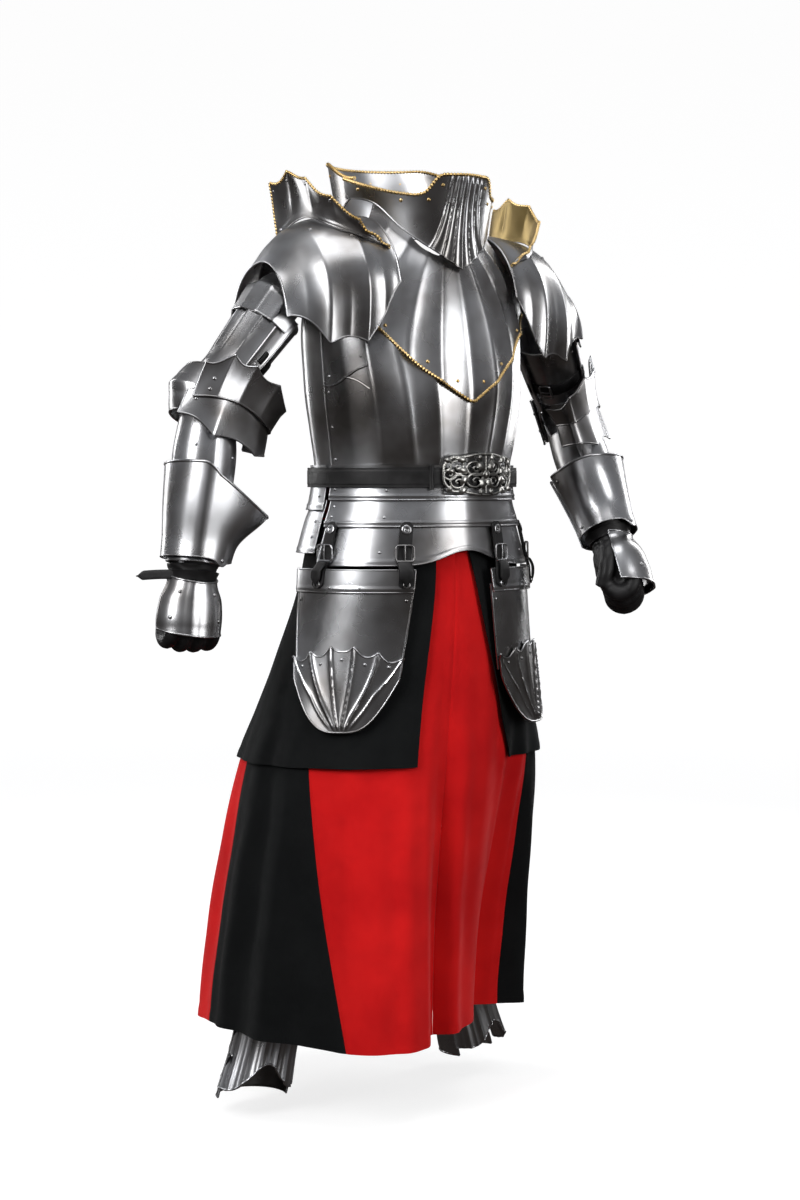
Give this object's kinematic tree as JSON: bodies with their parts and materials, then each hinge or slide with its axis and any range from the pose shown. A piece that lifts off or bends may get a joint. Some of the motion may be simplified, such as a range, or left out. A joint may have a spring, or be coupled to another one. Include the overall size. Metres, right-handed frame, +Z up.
{
  "type": "larp plate armour",
  "caption": "Fluted plate armour worn with a parti-coloured cloth skirt: breast and back, collar, shoulders, arms, gauntlets, hoops, tassets and greaves, hollow.",
  "frame": {"origin": "between the shoulders, on the wearer's midline, where the shoulders carry the suit", "axes": "+Z up, the front of the breastplate faces -Y, the wearer's left is +X"},
  "size_m": [0.97, 0.5912, 1.5431],
  "materials": {
    "steel": "polished, darkened in the hollows",
    "black_leather": "satin",
    "black_cloth": "matt weave",
    "red_cloth": "matt weave",
    "pewter": "antique cast pewter"
  },
  "bodies": {
    "suit": {"breast_upper": "steel", "plackart": "steel", "backplate": "steel", "fauld_front_1": "steel", "fauld_front_2": "steel", "fauld_front_3": "steel", "culet_1": "steel", "culet_2": "steel", "collar_front": "steel", "collar_back": "steel", "pauldron_right": "steel", "shoulder_guard_right": "steel", "shoulder_lame_right": "steel", "rerebrace_right": "steel", "rerebrace_inner_right": "steel", "greave_front_right": "steel", "greave_back_right": "steel", "pauldron_left": "steel", "shoulder_guard_left": "steel", "shoulder_lame_left": "steel", "rerebrace_left": "steel", "rerebrace_inner_left": "steel", "greave_front_left": "steel", "greave_back_left": "steel", "belt": "black_leather", "hanger_right_side": "black_leather", "hanger_right_front": "black_leather", "hanger_left_side": "black_leather", "hanger_left_front": "black_leather", "belt_buckle": "pewter", "skirt_front_right": "red_cloth", "skirt_front_left": "red_cloth", "skirt_back": "red_cloth", "skirt_side_left": "black_cloth", "skirt_side_right": "black_cloth", "overskirt": "black_cloth"},
    "forearm_right": {"vambrace_right": "steel", "gauntlet_cuff_right": "steel", "hand_plate_right": "steel", "glove_right": "black_leather"},
    "couter_right": {"couter_cop_right": "steel", "couter_wing_right": "steel", "couter_lame_right": "steel"},
    "tasset_right": {"tasset_upper_right": "steel", "tasset_main_right": "steel", "tasset_fan_right": "steel", "hanger_buckle_right_side": "black_leather", "hanger_buckle_right_front": "black_leather"},
    "forearm_left": {"vambrace_left": "steel", "gauntlet_cuff_left": "steel", "hand_plate_left": "steel", "glove_left": "black_leather"},
    "couter_left": {"couter_cop_left": "steel", "couter_wing_left": "steel", "couter_lame_left": "steel"},
    "tasset_left": {"tasset_upper_left": "steel", "tasset_main_left": "steel", "tasset_fan_left": "steel", "hanger_buckle_left_side": "black_leather", "hanger_buckle_left_front": "black_leather"}
  },
  "joints": [
    {"name": "elbow_right", "type": "hinge", "parent": "suit", "child": "forearm_right", "pos_m": [-0.388, 0, -0.25], "axis": [-0.0868, -0.9935, 0.0738], "range_deg": [-30, 15]},
    {"name": "couter_turn_right", "type": "hinge", "parent": "suit", "child": "couter_right", "pos_m": [-0.388, 0, -0.25], "axis": [-0.0868, -0.9935, 0.0738], "range_deg": [-15, 7.5]},
    {"name": "tasset_lift_right", "type": "hinge", "parent": "suit", "child": "tasset_right", "pos_m": [-0.1619, -0.0984, -0.5087], "axis": [-0.6694, 0.7429, 0], "range_deg": [0, 60]},
    {"name": "elbow_left", "type": "hinge", "parent": "suit", "child": "forearm_left", "pos_m": [0.405, 0.092, -0.26], "axis": [-0.7591, 0.572, -0.3107], "range_deg": [-60, 5]},
    {"name": "couter_turn_left", "type": "hinge", "parent": "suit", "child": "couter_left", "pos_m": [0.405, 0.092, -0.26], "axis": [-0.7591, 0.572, -0.3107], "range_deg": [-30, 2.5]},
    {"name": "tasset_lift_left", "type": "hinge", "parent": "suit", "child": "tasset_left", "pos_m": [0.1325, -0.1229, -0.5087], "axis": [-0.8091, -0.5877, 0], "range_deg": [0, 60]}
  ],
  "couplings": [
    {"joint": "couter_turn_right", "follows": "elbow_right", "ratio": 0.5},
    {"joint": "couter_turn_left", "follows": "elbow_left", "ratio": 0.5}
  ]
}
